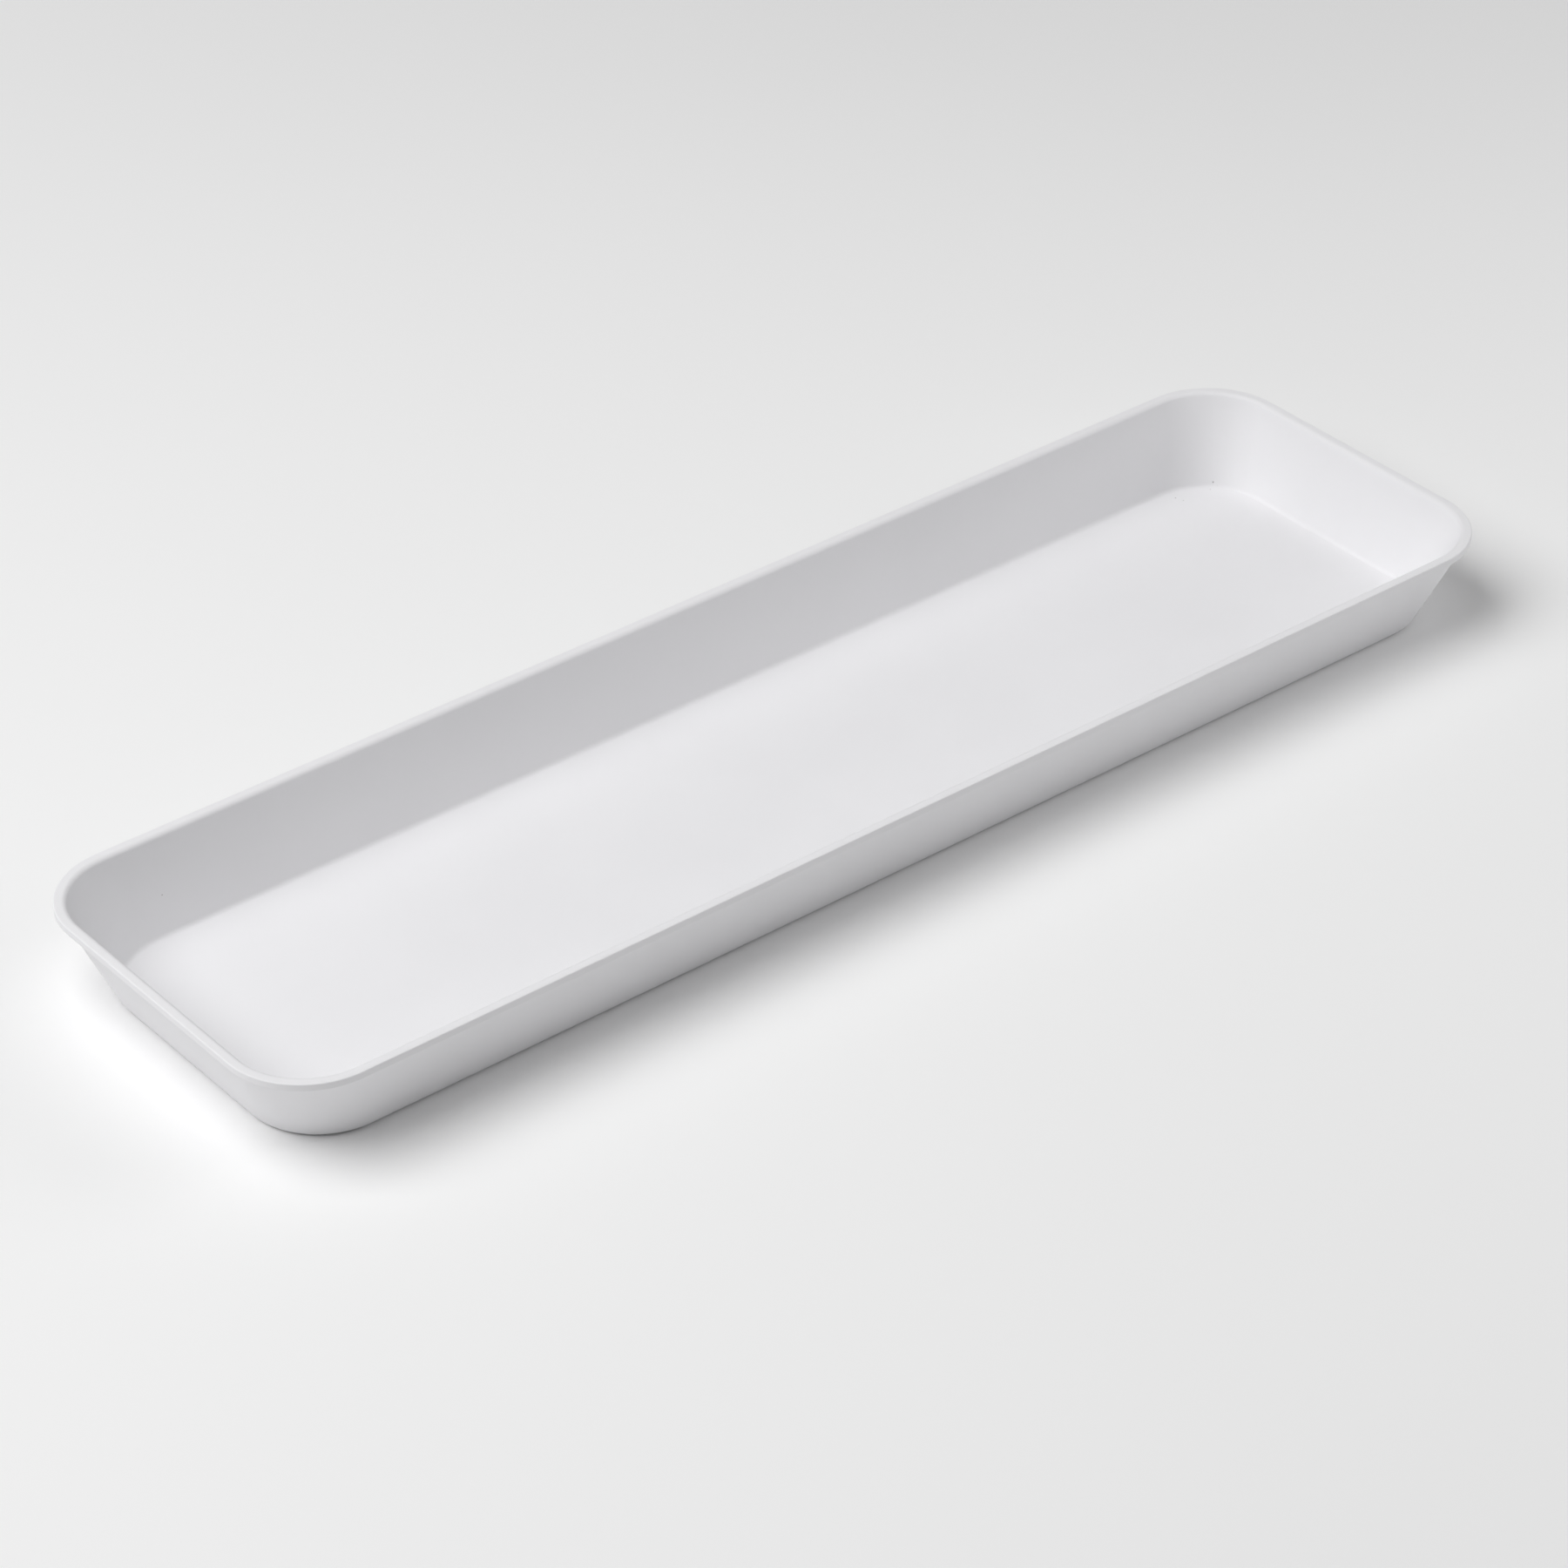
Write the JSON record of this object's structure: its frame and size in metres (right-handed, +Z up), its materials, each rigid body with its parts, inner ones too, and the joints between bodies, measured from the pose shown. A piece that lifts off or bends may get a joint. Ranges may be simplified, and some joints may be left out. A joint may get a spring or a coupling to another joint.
{
  "type": "paint tray",
  "caption": "Long, shallow, flat-bottomed moulded tray with leaning walls, wide rounded corners and a slim turned-out lip, to hold paint for a mini roller, pad or brush.",
  "frame": {"origin": "middle of the flat underside, which is what the tray stands on", "axes": "+X along the length, +Y across the width, +Z up out of the open mouth"},
  "size_m": [0.5, 0.145, 0.0323],
  "materials": {
    "white_plastic": "opaque white moulded plastic with a fine satin mould texture"
  },
  "bodies": {
    "root": {"tray": "white_plastic"}
  },
  "joints": []
}
